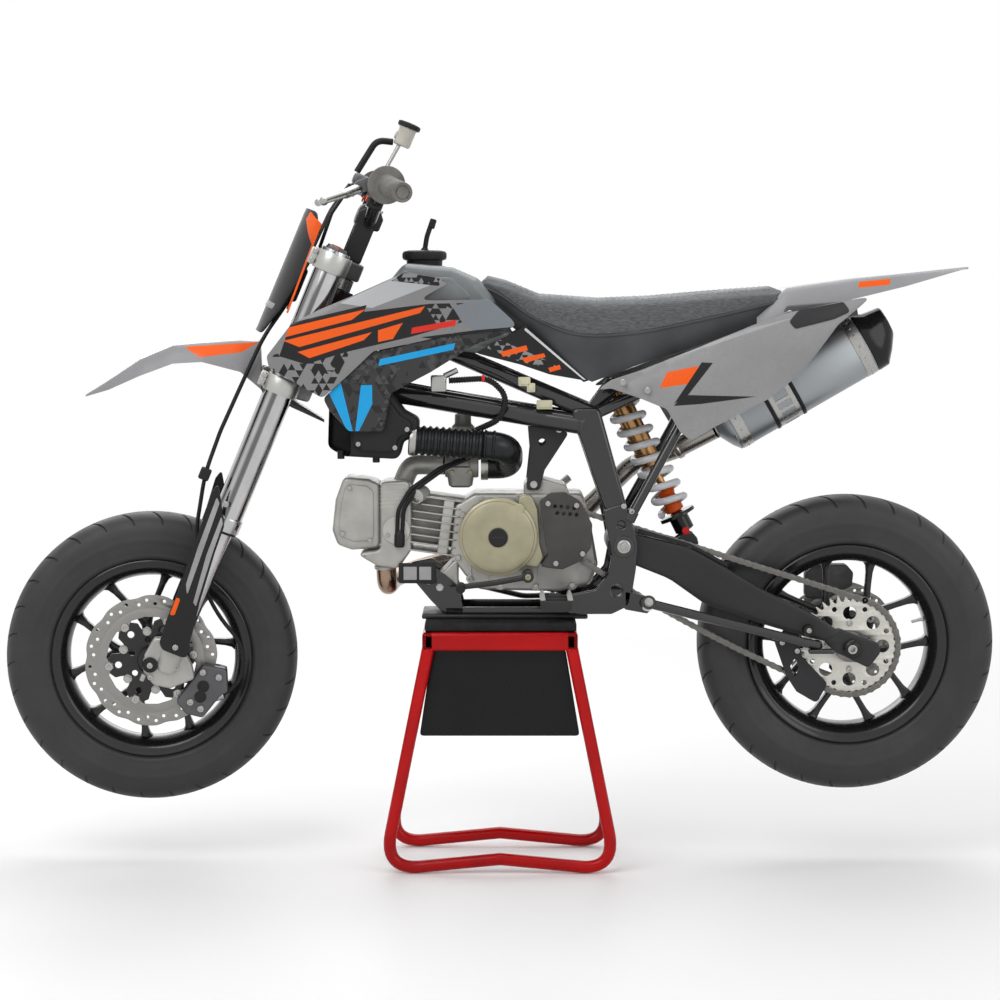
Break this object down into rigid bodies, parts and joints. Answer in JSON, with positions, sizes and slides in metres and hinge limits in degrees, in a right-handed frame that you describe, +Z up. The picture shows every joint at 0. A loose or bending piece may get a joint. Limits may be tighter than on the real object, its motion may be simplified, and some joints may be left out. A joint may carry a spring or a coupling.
{
  "type": "dirt bike on a paddock stand",
  "caption": "Small dirt bike with road-size cast wheels, upright fork, long flat seat and high silencer, carried on a low paddock stand.",
  "frame": {"origin": "on the floor under the paddock stand, midway between the front and the back of the tyres", "axes": "+Z up, the bike faces -X, its left side is -Y"},
  "size_m": [1.6565, 0.7352, 1.2608],
  "materials": {
    "cast_black": "satin",
    "tyre": "matte",
    "disc_steel": "brushed",
    "chain_steel": "satin",
    "cast_grey": "satin",
    "cast_silver": "satin",
    "plastic_black": "satin",
    "frame_black": "gloss",
    "grip_rubber": "matte",
    "control_black": "satin",
    "reservoir_white": "satin",
    "plastic_dark": "gloss",
    "plastic_grey": "gloss",
    "plastic_light": "gloss",
    "hose_black": "satin",
    "engine_black": "satin",
    "cover_gold": "satin",
    "pipe_steel": "satin",
    "silencer_grey": "satin",
    "seat_cover": "grippy",
    "shock_gold": "satin",
    "spring_white": "gloss",
    "stand_red": "gloss",
    "panel_black": "satin",
    "pad_rubber": "matte"
  },
  "bodies": {
    "chassis": {"drive_chain": "chain_steel", "frame": "frame_black", "subframe": "frame_black", "engine_crankcase": "engine_black", "engine_cylinder": "engine_black", "engine_head": "engine_black", "engine_head_cover": "engine_black", "flywheel_cover": "cover_gold", "sprocket_cover": "plastic_black", "clutch_cover": "engine_black", "airbox": "plastic_black", "intake_duct": "grip_rubber", "carburettor": "cast_silver", "intake_manifold": "cast_silver", "exhaust_pipe": "pipe_steel", "silencer": "silencer_grey", "silencer_caps": "plastic_black", "fuel_tank": "plastic_black", "fuel_cap": "plastic_black", "shrouds_upper": "plastic_grey", "shrouds_lower": "plastic_dark", "seat": "seat_cover", "side_panels": "plastic_grey", "frame_infills": "plastic_black", "rear_fender": "plastic_light", "swingarm": "frame_black", "swingarm_bolt": "cast_silver", "rear_axle": "cast_silver", "chain_guard": "plastic_black", "shock_body": "shock_gold", "shock_spring": "spring_white", "footpegs": "cast_grey", "foot_controls": "control_black", "rear_caliper": "control_black", "paddock_stand": "stand_red", "paddock_panels": "panel_black", "paddock_pad": "pad_rubber"},
    "steering": {"triple_clamps": "cast_grey", "fork_tubes": "cast_silver", "fork_legs": "cast_silver", "fork_guards": "plastic_black", "front_axle": "cast_silver", "handlebar": "frame_black", "grips": "grip_rubber", "hand_controls": "control_black", "brake_reservoir": "reservoir_white", "number_plate": "plastic_dark", "front_fender": "plastic_grey", "front_caliper": "control_black", "brake_hose": "hose_black"},
    "front_wheel": {"front_rim": "cast_black", "front_tyre": "tyre", "front_disc": "disc_steel"},
    "rear_wheel": {"rear_rim": "cast_black", "rear_tyre": "tyre", "rear_disc": "disc_steel", "rear_sprocket": "chain_steel"},
    "side_stand": {"side_stand": "frame_black"}
  },
  "joints": [
    {"name": "steering_turn", "type": "hinge", "parent": "chassis", "child": "steering", "pos_m": [-0.53422, 0, 0.32986], "axis": [0.3843, 0, 0.9232], "range_deg": [-45, 35]},
    {"name": "front_wheel_spin", "type": "hinge", "parent": "steering", "child": "front_wheel", "pos_m": [-0.58481, -0.00479, 0.35092], "axis": [-0.0805, 0.9962, 0.0335], "continuous": true},
    {"name": "rear_wheel_spin", "type": "hinge", "parent": "chassis", "child": "rear_wheel", "pos_m": [0.58, 0, 0.374], "axis": [0, 1, 0], "continuous": true},
    {"name": "side_stand_swing", "type": "hinge", "parent": "chassis", "child": "side_stand", "pos_m": [0.243, -0.118, 0.451], "axis": [-0.061, 0.9625, -0.2642], "range_deg": [0, 85]}
  ]
}
